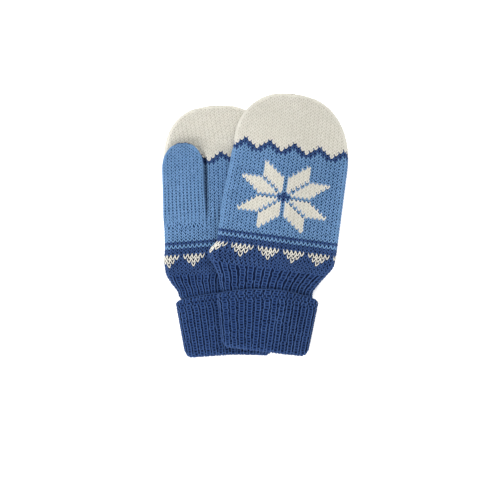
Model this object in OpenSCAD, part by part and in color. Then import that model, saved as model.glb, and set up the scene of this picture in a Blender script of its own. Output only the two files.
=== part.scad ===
// A pair of child's knitted mittens lying one across the other, cuffs turned up.
// The left mitten lies palm up on the table, its thumb folded flat on the palm.
// The right mitten lies back up over it, its own thumb folded underneath.
// X runs to the right, Y to the fingertips and Z up from the table.

/* [Hand] */
// Width of the hand laid flat
hand_w = 78.6; // [72:0.1:92]
// Thickness of the hand laid flat
hand_t = 10.5; // [10:0.1:14]
// Thickness of the hand's fabric
hand_wall = 2.2; // [1.6:0.1:2.4]
// Length of the light blue hand, from the stripes to the low points of the zigzag
palm_len = 50.5; // [42:0.5:70]
// Length of the fingertip, from the low points of the zigzag to the end
tip_len = 38.4; // [34:0.1:55]
// Length over which the outline rounds off at the fingertip
round_len = 48; // [36:0.5:60]
// Squareness of the rounded fingertip, 2 is an ellipse
tip_square = 2.35; // [2:0.05:3]
// Fabric left solid at the very end of the fingertip
tip_wall = 5; // [3:0.1:8]

/* [Wrist and cuff] */
// Width of the ribbing where it leaves the cuff
wrist_w = 54; // [48:0.1:62]
// Length of the ribbing, from the fold to the plain knitting
rib_len = 54; // [48:0.5:70]
// Length of the plain dark wrist, from the ribbing to the stripes
wrist_len = 13.5; // [9:0.1:30]
// Thickness of the ribbing laid flat
rib_t = 8; // [7.6:0.1:9.5]
// Thickness of the ribbing's fabric
rib_wall = 1.5; // [1:0.1:1.6]
// Width of the turned-up cuff at its fold
fold_w = 57; // [50:0.1:60]
// Width of the left cuff at its upper edge
left_cuff_w = 64.2; // [61:0.1:72]
// Width of the right cuff at its upper edge
right_cuff_w = 67.2; // [61:0.1:72]
// Depth of the turned-up cuff at its sides
cuff_depth = 36; // [28:0.5:38]
// How much higher the left cuff's upper edge stands in the middle
left_cuff_arch = 3.5; // [0:0.1:4]
// How much higher the right cuff's upper edge stands in the middle
right_cuff_arch = 5.2; // [0:0.1:6]
// How much lower the right cuff's upper edge stands at its thumb side
right_cuff_drop = 3.5; // [0:0.1:5]
// How much lower the left cuff's fold hangs away from its thumb
left_fold_drop = 2.5; // [0:0.1:4]
// Rounding of the cuff's corners
cuff_corner = 2.6; // [0:0.1:4]
// Thickness of the turned-up cuff's fabric
cuff_wall = 1.9; // [1.4:0.1:2.6]
// Height of the rounded fold
fold_h = 3; // [2:0.1:5]
// Height of the cast-off edge
edge_h = 2; // [1:0.1:3]
// Space between the ribbing and the turned-up cuff
cuff_gap = 0.5; // [0.4:0.05:0.8]

/* [Pattern] */
// Repeats of the pattern round the hand
repeats = 10; // [6:1:14]
// Height of the dark stripe below the hand
upper_stripe_h = 2.2; // [1.5:0.1:4]
// Height of the light line between the dark stripes
line_h = 2.1; // [1.5:0.1:4]
// Height of the dark stripe above the triangles
lower_stripe_h = 4.4; // [3:0.1:6]
// Height of the triangles
tri_h = 7.6; // [3:0.1:9]
// Height of the zigzag from low to high points
zig_h = 6; // [3:0.1:9]
// Width of the zigzag line, measured along the hand
zig_w = 4; // [3:0.1:6]

/* [Thumb] */
// Width of the thumb laid flat
thumb_w = 28.2; // [24:0.1:30]
// Width of the thumb halfway up, as a share of its width at the seam
thumb_taper = 0.97; // [0.85:0.01:1]
// Thickness of the thumb laid flat
thumb_t = 9; // [8.4:0.1:11]
// Length of the thumb from its seam
thumb_len = 54.5; // [40:0.5:60]
// Thickness of the thumb's fabric
thumb_wall = 1.8; // [1.2:0.1:2]
// Length over which the thumb's end rounds off
thumb_round = 17; // [12:0.5:22]
// Distance of the thumb's middle from the thumb edge of the hand, at its seam
thumb_inset = 13.8; // [12.5:0.1:17]
// Lean of the thumb towards the middle of the hand, in degrees
thumb_lean = 2.4; // [0:0.1:5]
// Distance of the thumb's seam above the stripes
thumb_rise = 10.5; // [6:0.1:12]
// Radius of the row of picked-up stitches at the thumb's seam
seam_r = 1.1; // [0.8:0.05:1.4]
// Length of the slit that joins the thumb to the hand
slit_len = 18; // [12:0.1:20]
// Width of the slit that joins the thumb to the hand
slit_w = 17; // [12:0.1:20]

/* [How the pair lies] */
// Lean of the left mitten to the left, in degrees
left_lean = 4.2; // [0:0.1:8]
// Place of the left mitten's fold, along X
left_x = -17.2; // [-25:0.1:-12]
// Place of the left mitten's fold, along Y
left_y = -84.5; // [-90:0.1:-80]
// Shift of the left wrist away from its thumb, just above the cuff
left_wrist_shift = -3; // [-3:0.1:1]
// Shift of the left hand away from its thumb, at the stripes
left_palm_shift = 2.7; // [0:0.1:5]
// Shift of the left hand away from its thumb, at the zigzag
left_zig_shift = 5; // [2:0.1:6]
// Shift of the left fingertip away from its thumb
left_tip_shift = 2.2; // [0:0.1:6]
// Length of the left hand and fingertip, as a share of the right one's
left_stretch = 0.94; // [0.9:0.005:1]
// How much further the left wrist's thumb edge stands out, at the end of the ribbing
left_wrist_bulge = 2; // [0:0.1:3]
// How much less the left fingertip's thumb edge stands out
left_tip_trim = 0.7; // [0:0.1:4]
// Lean of the right mitten to the right, in degrees
right_lean = 7.3; // [4:0.1:10]
// Place of the right mitten's fold, along X
right_x = 6.2; // [3:0.1:12]
// Place of the right mitten's fold, along Y
right_y = -82.2; // [-88:0.1:-78]
// Shift of the right wrist away from its thumb, just above the cuff
right_wrist_shift = -0.5; // [-2:0.1:1]
// Shift of the right hand away from its thumb, at the stripes
right_palm_shift = -0.5; // [-2:0.1:3]
// Shift of the right hand away from its thumb, at the zigzag
right_zig_shift = -0.3; // [-2:0.1:3]
// Shift of the right fingertip away from its thumb
right_tip_shift = -1.2; // [-6:0.1:2]
// How much further the right wrist's thumb edge stands out, at the end of the ribbing
right_wrist_bulge = 8; // [0:0.1:9]
// How much less the right hand's thumb edge stands out, at the zigzag
right_zig_trim = 2.2; // [0:0.1:4]
// Shift of the right cuff's upper edge towards its thumb
right_cuff_shift = 2.6; // [0:0.1:3]
// Depth of the flattened underside where the pair rests
rest_cut = 0.5; // [0.3:0.1:0.8]
// Space between pieces that lie on each other
lie_gap = 0.4; // [0.3:0.05:0.8]

/* [Hidden] */
LEFT = 0;
RIGHT = 1;
CREAM = [0.86, 0.84, 0.78];
LIGHT_BLUE = [0.40, 0.54, 0.70];
DARK_BLUE = [0.19, 0.28, 0.46];
EPS = 0.01;

// Stitches in one repeat, and the corners of one repeat in stitches from its gap
repeat_stitches = 6;
corners = [0.5, 2.5, 3.5, 5.5];
ring_n = repeats * len(corners);
stitches = repeats * repeat_stitches;
// Stitches from the thumb edge to the middle of the first gap in the pattern
first_gap = [-1, -2];
// Stitches by which the zigzag's high points are moved round from the gaps
zig_move = [4, 0];

// Length on each side of the ribbing's end over which the wrist widens to the hand
wrist_ease = 12;

// Heights along a mitten, from the fold to the fingertip
v_rib = rib_len;
v_tri = v_rib + wrist_len;
v_line = v_tri + lower_stripe_h;
v_stripe = v_line + line_h;
v_palm = v_stripe + upper_stripe_h;
v_zig = v_palm + palm_len;
v_tip = v_zig + zig_w;
v_end = v_tip + tip_len;
v_round = v_end - round_len;
v_seam = v_palm + thumb_rise;
v_wrist_low = v_rib - wrist_ease;
v_wrist_high = v_rib + wrist_ease;
v_inner_end = v_end - tip_wall;

// Where a thumb edge stands further out or in: start, full from, full to, end
left_bulge_at = [v_wrist_low, v_rib - wrist_ease / 3, v_rib, v_rib + 2 / 3 * wrist_ease];
right_bulge_at = [cuff_depth / 2, v_wrist_low + wrist_ease / 3, v_rib + wrist_ease / 4,
                  v_rib + 1.25 * wrist_ease];
zig_trim_at = [v_zig - 0.65 * palm_len, v_zig, v_zig, v_zig + 0.65 * tip_len];
tip_trim_at = [v_zig, v_zig + 0.55 * tip_len, v_end - 0.35 * tip_len, v_end];

// Where rings of points stand: shares of the rounding, of the hand and of a thumb's rounding
end_share = 0.985;
tip_first = 0.12;
tip_shares = [0.6, 0.78, 0.9, end_share];
hand_shares = [0, 0.3, 0.6, 0.9];
thumb_shares = [0.45, 0.75, 0.92, end_share];

// Flat oval: share of the width and of the turn taken by a rounded edge, and the crown
edge_x = 0.115;
edge_turn = 0.165;
crown = 0.12;

// Share of the cast-off edge's height and width taken by its bevels
edge_bevel = 0.35;
// Degrees between two points of the fold's round
fold_step = 36;

cuff_t = rib_t + 2 * (cuff_gap + cuff_wall);
fold_band = cuff_wall + cuff_gap + rib_wall;
rib_in_w = fold_w - 2 * (cuff_wall + cuff_gap);
left_palm_z = hand_t - rest_cut;
left_cuff_z = cuff_t - rest_cut;

// Heights that the right mitten climbs to, over the left cuff, over its thumb and at its tip
climb_cuff = left_cuff_z + lie_gap;
climb_hand = left_palm_z + 2 * lie_gap + thumb_t;
climb_tip = 9;
// Where the climb starts and ends, measured from the middle of the right mitten
climb_cuff_top = 4;
climb_cuff_foot = 30;
climb_hand_top = -10;
climb_hand_foot = 36.5;

function mix(a, b, s) = a + (b - a) * s;
function step(a, b, x) = let (s = max(0, min(1, (x - a) / (b - a)))) s * s * (3 - 2 * s);
function rounded(s, n) = pow(1 - pow(max(0, s), n), 1 / n);

// Point of the flat oval at turn t, from the left edge over the top and back underneath
function oval(t) =
    let (turn = t - floor(t),
         up = turn <= 0.5 ? 1 : -1,
         u = turn <= 0.5 ? 4 * turn - 1 : 3 - 4 * turn,
         flat = 1 - edge_turn,
         w = abs(u) / flat,
         phi = 90 * (abs(u) - flat) / edge_turn,
         x = w <= 1 ? (1 - edge_x) * w : 1 - edge_x + edge_x * sin(phi),
         z = w <= 1 ? 1 - crown * (1 - pow(1 - w * w, 2)) : (1 - crown) * cos(phi))
    [u < 0 ? -x : x, up * z];

// Half width, half thickness and fabric of the hand and ribbing at height v
function half_w(v) =
    v > v_round ? hand_w / 2 * rounded((v - v_round) / round_len, tip_square)
    : v > v_wrist_low ? mix(wrist_w, hand_w, step(v_wrist_low, v_wrist_high, v)) / 2
    : mix(rib_in_w, wrist_w, step(cuff_depth / 2, v_wrist_low, v)) / 2;
function half_t(v) =
    v > v_round ? hand_t / 2 * sqrt(1 - pow((v - v_round) / round_len, 4))
    : mix(rib_t, hand_t, step(v_wrist_low, v_wrist_high, v)) / 2;
function fabric(v) = mix(rib_wall, hand_wall, step(v_wrist_low, v_rib, v));

// How much further the thumb edge stands out than the other edge at height v
function hump(at, v) = step(at[0], at[1], v) - step(at[2], at[3], v);
function thumb_edge(side, v) =
    side == LEFT ? left_wrist_bulge * hump(left_bulge_at, v) - left_tip_trim * hump(tip_trim_at, v)
    : right_wrist_bulge * hump(right_bulge_at, v) - right_zig_trim * hump(zig_trim_at, v);

// Place of the middle of the tube at height v
shifts = [[left_wrist_shift, left_palm_shift, left_zig_shift, left_tip_shift],
          [right_wrist_shift, right_palm_shift, right_zig_shift, right_tip_shift]];
function along(side, v) = side == LEFT && v > v_palm ? v_palm + (v - v_palm) * left_stretch : v;
function middle_x(side, v) =
    let (s = shifts[side])
    v > v_zig ? mix(s[2], s[3], step(v_zig, v_end, v))
    : v > v_palm ? mix(s[1], s[2], (v - v_palm) / palm_len)
    : v > v_wrist_low ? mix(s[0], s[1], step(v_wrist_low, v_palm, v))
    : s[0] * step(cuff_depth, v_wrist_low, v);
function middle_z(side, v) =
    mix(cuff_t, hand_t, step(v_wrist_low, v_wrist_high, v)) / 2 - (side == LEFT ? rest_cut : 0);

// How far the right mitten is lifted where it lies over the left one
function climb(side, x, y) =
    let (s = step(v_wrist_low, v_palm, y),
         peak = mix(climb_cuff, climb_hand, s) - (climb_hand - climb_tip) * step(v_zig, v_end, y),
         top = mix(climb_cuff_top, climb_hand_top, s),
         foot = mix(climb_cuff_foot, climb_hand_foot, s))
    side == LEFT ? 0 : peak * (1 - step(top, foot, x));
function lift(side, p) = [p[0], p[1], p[2] + climb(side, p[0], p[1])];

// Turn of each point of a ring, so that the pattern's corners fall on points
function ring_turn(side, i) =
    let (k = floor(i / len(corners)))
    (first_gap[side] + k * repeat_stitches + corners[i % len(corners)]) / stitches;

// Point of the hand's fabric at turn t and height v, outside or inside
function hand_point(side, t, v, inside) =
    let (o = oval(t), w = inside ? fabric(v) : 0, out = o[0] < 0 ? thumb_edge(side, v) : 0)
    lift(side, [middle_x(side, v) + (half_w(v) + out - w) * o[0], along(side, v),
                middle_z(side, v) + (half_t(v) - w) * o[1]]);
function hand_ring(side, level, inside) =
    [for (i = [0:ring_n - 1]) hand_point(side, ring_turn(side, i), level[i], inside)];

// Heights round the hand: level, along the zigzag and along the triangles
function level(v) = [for (i = [0:ring_n - 1]) v];
function zigzag_level(side, v) =
    [for (i = [0:ring_n - 1])
        let (c = (corners[i % len(corners)] - zig_move[side]) / repeat_stitches)
        v + zig_h * abs(2 * (c - floor(c)) - 1)];
function triangle_level(v) =
    [for (i = [0:ring_n - 1]) let (k = i % len(corners)) (k == 1 || k == 2) ? v - tri_h : v];

// Point of the turned-up cuff at turn t, o inwards from its outside
function cuff_middle(side, y) =
    side == LEFT ? 0 : -right_cuff_shift * (y - fold_h) / (cuff_depth - fold_h);
function cuff_half_w(side, y) =
    let (top_w = side == LEFT ? left_cuff_w : right_cuff_w)
    mix(fold_w, top_w, (y - fold_h) / (cuff_depth - fold_h)) / 2;
function cuff_point(side, t, y, o) =
    let (p = oval(t), rest = side == LEFT ? rest_cut : 0, up = max(y, fold_h))
    lift(side, [cuff_middle(side, up) + (cuff_half_w(side, up) - o) * p[0], y,
                cuff_t / 2 - rest + (cuff_t / 2 - o) * p[1]]);

// Height of the cuff's upper edge at turn t, and how far its fold lies above the lowest line
function corner(t) =
    let (q = max(0, 1 - (1 - abs(oval(t)[0])) / edge_x))
    cuff_corner * (1 - sqrt(max(0, 1 - q * q)));
function cuff_top(side, t) =
    let (p = oval(t)[0], arch = side == LEFT ? left_cuff_arch : right_cuff_arch)
    cuff_depth + arch * (1 - p * p) - corner(t) - (side == LEFT ? 0 : right_cuff_drop * (1 - p) / 2);
function fold_line(side, t) =
    corner(t) - (side == LEFT ? left_fold_drop * pow((1 + oval(t)[0]) / 2, 3) : 0);

// Triangles of a band of quads between ring a and ring b, of ring_n or n points
function quad(a, b, c, d) = [[a, c, b], [a, d, c]];
function band(a, b, n) = [for (i = [0:n - 1]) let (j = (i + 1) % n) each quad(a + i, a + j, b + j, b + i)];
function flip(faces) = [for (f = faces) [f[2], f[1], f[0]]];
// Rungs across a flat ring that closes its end
function rungs(a, n) = [for (i = [0:n / 2 - 2]) each quad(a + i, a + i + 1, a + n - 2 - i, a + n - 1 - i)];

// Open tube of fabric between the first and the last of some rings of heights
module fabric_tube(side, levels) {
    m = len(levels);
    inner = m * ring_n;
    points = [for (inside = [false, true]) for (l = levels) each hand_ring(side, l, inside)];
    last = (m - 1) * ring_n;
    faces = concat(
        [for (k = [0:m - 2]) each band(k * ring_n, (k + 1) * ring_n, ring_n)],
        [for (k = [0:m - 2]) each flip(band(inner + k * ring_n, inner + (k + 1) * ring_n, ring_n))],
        flip(band(0, inner, ring_n)),
        band(last, inner + last, ring_n));
    polyhedron(points, faces);
}

// Fabric closed at the fingertip, from some rings of heights outside and inside
module fabric_cap(side, outside, inside) {
    inner = len(outside) * ring_n;
    points = concat([for (l = outside) each hand_ring(side, l, false)],
                    [for (l = inside) each hand_ring(side, l, true)]);
    faces = concat(
        [for (k = [0:len(outside) - 2]) each band(k * ring_n, (k + 1) * ring_n, ring_n)],
        [for (k = [0:len(inside) - 2]) each flip(band(inner + k * ring_n, inner + (k + 1) * ring_n, ring_n))],
        flip(band(0, inner, ring_n)),
        rungs(inner - ring_n, ring_n),
        flip(rungs(inner + (len(inside) - 1) * ring_n, ring_n)));
    polyhedron(points, faces);
}

// Closed ring round the cuff, with a profile of [inwards, along] points
module cuff_ring(side, profile, on_top) {
    m = len(profile);
    points = [for (p = profile) for (i = [0:ring_n - 1])
        let (t = ring_turn(side, i), line = on_top ? cuff_top(side, t) : fold_line(side, t))
        cuff_point(side, t, line + p[1], p[0])];
    faces = [for (k = [0:m - 1]) each flip(band(k * ring_n, ((k + 1) % m) * ring_n, ring_n))];
    polyhedron(points, faces);
}

// Places a mitten where it lies, and flattens the underside of the left one
module lay(side) {
    translate(side == LEFT ? [left_x, left_y, 0] : [right_x, right_y, 0])
        rotate([0, 0, side == LEFT ? left_lean : -right_lean])
            if (side == LEFT) difference() {
                children();
                translate([-hand_w, -hand_w, -hand_t]) cube([2 * hand_w, v_end + 2 * hand_w, hand_t]);
            }
            else children();
}

module fingertip(side) {
    start = [zigzag_level(side, v_tip), level(mix(v_tip + zig_h, v_end, tip_first))];
    outside = concat(start, [for (s = tip_shares) level(v_round + s * round_len)]);
    inside = concat(start, [for (k = [0, 1]) level(v_round + tip_shares[k] * round_len), level(v_inner_end)]);
    color(CREAM) lay(side) fabric_cap(side, outside, inside);
}

module zigzag(side) {
    color(DARK_BLUE) lay(side) fabric_tube(side, [zigzag_level(side, v_zig), zigzag_level(side, v_tip)]);
}

module hand(side) {
    levels = [for (s = hand_shares) level(mix(v_palm, v_zig, s)), zigzag_level(side, v_zig)];
    color(LIGHT_BLUE) lay(side) difference() {
        fabric_tube(side, levels);
        thumb_slit(side);
    }
}

module upper_stripe(side) {
    color(DARK_BLUE) lay(side) fabric_tube(side, [level(v_stripe), level(v_palm)]);
}

module line_stripe(side) {
    color(LIGHT_BLUE) lay(side) fabric_tube(side, [level(v_line), level(v_stripe)]);
}

module lower_stripe(side) {
    color(DARK_BLUE) lay(side) fabric_tube(side, [level(v_tri), level(v_line)]);
}

// One triangle of the border: four corners along its top and two at its point
module border_triangle(side, first) {
    top = level(v_tri);
    low = triangle_level(v_tri);
    points = [for (inside = [false, true])
        each [for (k = [0:3]) hand_point(side, ring_turn(side, first + k), top[k], inside),
              for (k = [1, 2]) hand_point(side, ring_turn(side, first + k), low[k], inside)]];
    outer = [[0, 1, 4], each quad(4, 5, 2, 1), [2, 3, 5]];
    low_rim = [0, 4, 5, 3];
    faces = concat(outer, flip([for (f = outer) [f[0] + 6, f[1] + 6, f[2] + 6]]),
        [for (i = [0:2]) each quad(i, i + 1, i + 7, i + 6)],
        [for (i = [0:2]) let (a = low_rim[i], b = low_rim[i + 1]) each flip(quad(a, b, b + 6, a + 6))]);
    polyhedron(points, faces);
}

module triangles(side) {
    color(CREAM) lay(side) for (k = [0:repeats - 1]) border_triangle(side, k * len(corners));
}

module wrist(side) {
    between = mix(v_rib, v_tri - tri_h, hand_shares[2]);
    color(DARK_BLUE) lay(side) fabric_tube(side, [level(v_rib), level(between), triangle_level(v_tri)]);
}

module ribbing(side) {
    foot = [for (i = [0:ring_n - 1]) fold_h + cuff_gap + fold_line(side, ring_turn(side, i))];
    heights = [cuff_depth / 2, v_wrist_low, mix(v_wrist_low, v_rib, 0.5), v_rib];
    color(DARK_BLUE) lay(side) fabric_tube(side, [foot, for (v = heights) level(v)]);
}

module cuff_turnup(side) {
    turns = [for (i = [0:ring_n - 1]) ring_turn(side, i)];
    shares = [0, 0.5, 1];
    m = len(shares);
    points = [for (o = [0, cuff_wall]) for (s = shares) for (t = turns)
        cuff_point(side, t, mix(fold_h + fold_line(side, t), cuff_top(side, t), s), o)];
    inner = m * ring_n;
    last = (m - 1) * ring_n;
    faces = concat(
        [for (k = [0:m - 2]) each band(k * ring_n, (k + 1) * ring_n, ring_n)],
        [for (k = [0:m - 2]) each flip(band(inner + k * ring_n, inner + (k + 1) * ring_n, ring_n))],
        band(inner, 0, ring_n),
        band(last, inner + last, ring_n));
    color(DARK_BLUE) lay(side) polyhedron(points, faces);
}

module cuff_fold(side) {
    profile = [for (a = [180:-fold_step:0]) [fold_band / 2 * (1 + cos(a)), fold_h * (1 - sin(a))],
               [cuff_wall, fold_h]];
    color(DARK_BLUE) lay(side) cuff_ring(side, profile, false);
}

module cuff_edge(side) {
    w = cuff_wall;
    side_h = edge_h * (1 - edge_bevel);
    bevel = w * edge_bevel;
    profile = [[0, 0], [w, 0], [w, side_h], [w - bevel, edge_h], [bevel, edge_h], [0, side_h]];
    color(DARK_BLUE) lay(side) cuff_ring(side, profile, true);
}

// The thumb lies flat on the palm, at heights h above it and distances s from its seam
thumb_turns = 20;
thumb_offset = hand_w / 2 - thumb_inset;
thumb_base = seam_r + lie_gap;
// Squareness of the thumb's end, and shares of its thickness at the seam and off its end
thumb_square = 2.05;
thumb_start = 0.5;
thumb_fall = 0.96;
// Distance from the seam at which the thumb reaches its full thickness
thumb_full = thumb_len / 5;
function thumb_middle(side, s) =
    middle_x(side, v_seam) - thumb_offset + s * tan(thumb_lean);
function thumb_end(s) = max(0, (s - thumb_len + thumb_round) / thumb_round);
function thumb_half_w(s) =
    thumb_w / 2 * mix(1, thumb_taper, step(0, thumb_len / 2, s)) * rounded(thumb_end(s), thumb_square);
function thumb_height(s) =
    thumb_t * mix(thumb_start, 1, step(thumb_base, thumb_full, s))
    * sqrt(1 - thumb_fall * pow(thumb_end(s), 4));
function on_palm(side, x, y, h) = [x, y, side == LEFT ? left_palm_z + h : climb(side, x, y) - h];
function thumb_point(side, t, s, w) =
    let (o = oval(t), height = thumb_height(s))
    on_palm(side, thumb_middle(side, s) + (thumb_half_w(s) - w) * o[0], along(side, v_seam) + s,
            lie_gap + height / 2 + (height / 2 - w) * o[1]);

module thumb_solid(side, distances, w) {
    n = thumb_turns;
    m = len(distances);
    points = [for (s = distances) for (i = [0:n - 1]) thumb_point(side, (i + 0.5) / n, s, w)];
    faces = concat([for (k = [0:m - 2]) each band(k * n, (k + 1) * n, n)],
                   flip(rungs(0, n)), rungs((m - 1) * n, n));
    polyhedron(points, side == LEFT ? faces : flip(faces));
}

// Slit through the palm and the underside of the thumb
module thumb_slit(side) {
    x = thumb_middle(side, thumb_base + slit_w / 2) - slit_len / 2;
    y = along(side, v_seam) + thumb_base + thumb_wall + EPS;
    low = on_palm(side, x, y, -hand_t / 2)[2];
    high = on_palm(side, x, y, lie_gap + thumb_t / 4)[2];
    translate([x, y, min(low, high)]) cube([slit_len, slit_w, abs(high - low)]);
}

module thumb(side) {
    inner_end = thumb_len - 2 * thumb_wall;
    outside = [thumb_base, thumb_full / 2, thumb_full, thumb_len - thumb_round,
               for (s = thumb_shares) thumb_len - thumb_round * (1 - s)];
    inside = [thumb_base + thumb_wall, thumb_full / 2, thumb_full, thumb_len - thumb_round,
              thumb_len - thumb_round * (1 - thumb_shares[0]), inner_end];
    color(LIGHT_BLUE) lay(side) difference() {
        thumb_solid(side, outside, 0);
        thumb_solid(side, inside, thumb_wall);
        thumb_slit(side);
    }
}

module thumb_seam(side) {
    length = thumb_w - 2 * thumb_wall;
    place = on_palm(side, thumb_middle(side, 0) - length / 2, along(side, v_seam), seam_r + lie_gap / 2);
    color(LIGHT_BLUE) lay(side)
        translate(place) rotate([0, 90, 0]) cylinder(r = seam_r, h = length, $fn = 32);
}

fingertip(LEFT);  // left_fingertip
zigzag(LEFT);  // left_zigzag
hand(LEFT);  // left_hand
upper_stripe(LEFT);  // left_upper_stripe
line_stripe(LEFT);  // left_line_stripe
lower_stripe(LEFT);  // left_lower_stripe
triangles(LEFT);  // left_triangles
wrist(LEFT);  // left_wrist
ribbing(LEFT);  // left_ribbing
cuff_turnup(LEFT);  // left_cuff_turnup
cuff_fold(LEFT);  // left_cuff_fold
cuff_edge(LEFT);  // left_cuff_edge
thumb(LEFT);  // left_thumb
thumb_seam(LEFT);  // left_thumb_seam
fingertip(RIGHT);  // right_fingertip
zigzag(RIGHT);  // right_zigzag
hand(RIGHT);  // right_hand
upper_stripe(RIGHT);  // right_upper_stripe
line_stripe(RIGHT);  // right_line_stripe
lower_stripe(RIGHT);  // right_lower_stripe
triangles(RIGHT);  // right_triangles
wrist(RIGHT);  // right_wrist
ribbing(RIGHT);  // right_ribbing
cuff_turnup(RIGHT);  // right_cuff_turnup
cuff_fold(RIGHT);  // right_cuff_fold
cuff_edge(RIGHT);  // right_cuff_edge
thumb(RIGHT);  // right_thumb
thumb_seam(RIGHT);  // right_thumb_seam
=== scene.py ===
# %% [markdown]
# A pair of child's knitted mittens, seen from straight above.
# The imported CAD model is loaded first and stays the fixed frame: it gives the size and the parts.
# Every soft solid in it is then replaced by knitting: rows of real stitches laid on the same surface.

# %% Load the frame
import bpy
import numpy as np
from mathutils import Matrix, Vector


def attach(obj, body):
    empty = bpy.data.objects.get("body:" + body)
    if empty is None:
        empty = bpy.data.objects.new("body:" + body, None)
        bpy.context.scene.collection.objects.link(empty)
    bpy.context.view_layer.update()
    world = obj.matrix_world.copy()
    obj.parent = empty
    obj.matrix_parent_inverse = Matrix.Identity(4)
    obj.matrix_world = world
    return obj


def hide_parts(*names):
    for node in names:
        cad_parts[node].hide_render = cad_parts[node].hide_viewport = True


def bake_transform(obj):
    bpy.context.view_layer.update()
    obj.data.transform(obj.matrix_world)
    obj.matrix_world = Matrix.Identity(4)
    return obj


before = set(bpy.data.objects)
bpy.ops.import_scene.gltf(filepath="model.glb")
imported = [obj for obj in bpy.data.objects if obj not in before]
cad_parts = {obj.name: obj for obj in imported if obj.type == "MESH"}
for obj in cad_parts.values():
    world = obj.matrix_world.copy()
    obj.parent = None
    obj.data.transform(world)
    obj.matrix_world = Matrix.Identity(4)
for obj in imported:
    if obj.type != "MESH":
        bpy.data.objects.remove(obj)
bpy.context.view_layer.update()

# %% [markdown]
# The photograph looks straight down, so the camera hangs above the pair and looks along -Z.
# A long lens far away keeps the outlines as flat as they are in the photograph.
# One pixel is 0.65 mm at the height where most of the knitting lies.

# %% Camera
MM = 0.001
PIXEL = 0.65 * MM
IMAGE, SENSOR = 500, 36
photo_middle = (-3.25 * MM, -15.9 * MM)
camera_height = 1.6
scale_height = 0.015
scene = bpy.context.scene
camera = bpy.data.objects.new("camera", bpy.data.cameras.new("camera"))
camera.location = (*photo_middle, camera_height)
camera.data.sensor_width = SENSOR
camera.data.lens = SENSOR * (camera_height - scale_height) / (IMAGE * PIXEL)
scene.collection.objects.link(camera)
bpy.context.scene.camera = camera
print("lens", round(camera.data.lens, 1), "mm")

# %% [markdown]
# The ground is a sheet of white paper and the light is soft.
# One lamp stands at the front and a little to the left: the shadows of the thumb and the cuffs say so.
# A second one hangs overhead, and a white world fills the shadows.

# %% Floor and light
WORLD_LIGHT = 0.42
scene.view_settings.view_transform = "Standard"
world = bpy.data.worlds.new("studio")
world.use_nodes = True
sky = world.node_tree.nodes["Background"]
sky.inputs["Color"].default_value = (1, 1, 1, 1)
sky.inputs["Strength"].default_value = WORLD_LIGHT
scene.world = world


def lamp(name, place, size, watts):
    """A square lamp that shines on the middle of the pair. Its place and size are in metres."""
    light = bpy.data.lights.new(name, "AREA")
    light.size = size
    light.energy = watts
    holder = bpy.data.objects.new(name, light)
    holder.location = place
    holder.rotation_euler = (-Vector(place)).to_track_quat("-Z", "Y").to_euler()
    scene.collection.objects.link(holder)


lamp("key_lamp", (-0.41, -0.62, 0.80), 0.5, 9.0)
lamp("overhead_lamp", (0.08, 0.46, 1.4), 0.8, 12.8)

floor_half, floor_z = 4.0, -0.0003
floor_mesh = bpy.data.meshes.new("paper_floor")
corners = [(x * floor_half, y * floor_half, floor_z) for x, y in ((-1, -1), (1, -1), (1, 1), (-1, 1))]
floor_mesh.from_pydata(corners, [], [(0, 1, 2, 3)])
floor = bpy.data.objects.new("paper_floor", floor_mesh)
scene.collection.objects.link(floor)

# %% [markdown]
# Shader arithmetic reads best as plain expressions, so one small class wraps a socket.
# Adding or multiplying two of them adds a Math node; any other node comes from its node method.
# Colours are mixed by a Mix node, because a Math node would turn them grey.

# %% Shader sockets as values


class Tint:
    """A socket of a node tree. Arithmetic on it adds Math nodes."""

    def __init__(self, tree, socket=None):
        self.tree = tree
        self.socket = socket

    def node(self, kind, settings=None, sockets=None, out=0):
        made = self.tree.nodes.new(kind)
        for key, value in (settings or {}).items():
            setattr(made, key, value)
        for key, value in (sockets or {}).items():
            target = next(s for s in made.inputs if key in (s.identifier, s.name))
            if isinstance(value, Tint):
                self.tree.links.new(value.socket, target)
            else:
                target.default_value = value
        return Tint(self.tree, made.outputs[out])

    def math(self, operation, first, second=0.0):
        return self.node("ShaderNodeMath", {"operation": operation}, {"Value": first, "Value_001": second})

    def __add__(self, other):
        return self.math("ADD", self, other)

    __radd__ = __add__

    def __sub__(self, other):
        return self.math("SUBTRACT", self, other)

    def __rsub__(self, other):
        return self.math("SUBTRACT", other, self)

    def __mul__(self, other):
        return self.math("MULTIPLY", self, other)

    __rmul__ = __mul__

    def __pow__(self, other):
        return self.math("POWER", self, other)

    def __rpow__(self, other):
        return self.math("POWER", other, self)

    def wave(self):
        return self.math("SINE", self)


def mix_colours(make, share, first, second):
    """A colour between two. Each of them is a Tint, or red, green and blue."""
    first, second = [c if isinstance(c, Tint) else (*c, 1) for c in (first, second)]
    return make.node("ShaderNodeMix", {"data_type": "RGBA"}, {
        "Factor_Float": share, "A_Color": first, "B_Color": second}, out=2)


def speckle(make, place, scale, detail):
    return make.node("ShaderNodeTexNoise", {}, {"Vector": place, "Scale": scale, "Detail": detail}, out="Fac")


def new_finish(name):
    """An empty material, and the Tint that builds in its tree."""
    material = bpy.data.materials.new(name)
    material.use_nodes = True
    material.node_tree.nodes.clear()
    return material, Tint(material.node_tree)


def close_finish(material, shader):
    output = material.node_tree.nodes.new("ShaderNodeOutputMaterial")
    material.node_tree.links.new(shader.socket, output.inputs["Surface"])
    print("finish:", material.name, len(material.node_tree.nodes), "nodes")
    return material


# %% [markdown]
# The paper floor is nearly white, with a very faint grain so that it isn't one flat colour.
# It is lit from below as well, like a light table, so that the shadows on it all but vanish.

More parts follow.
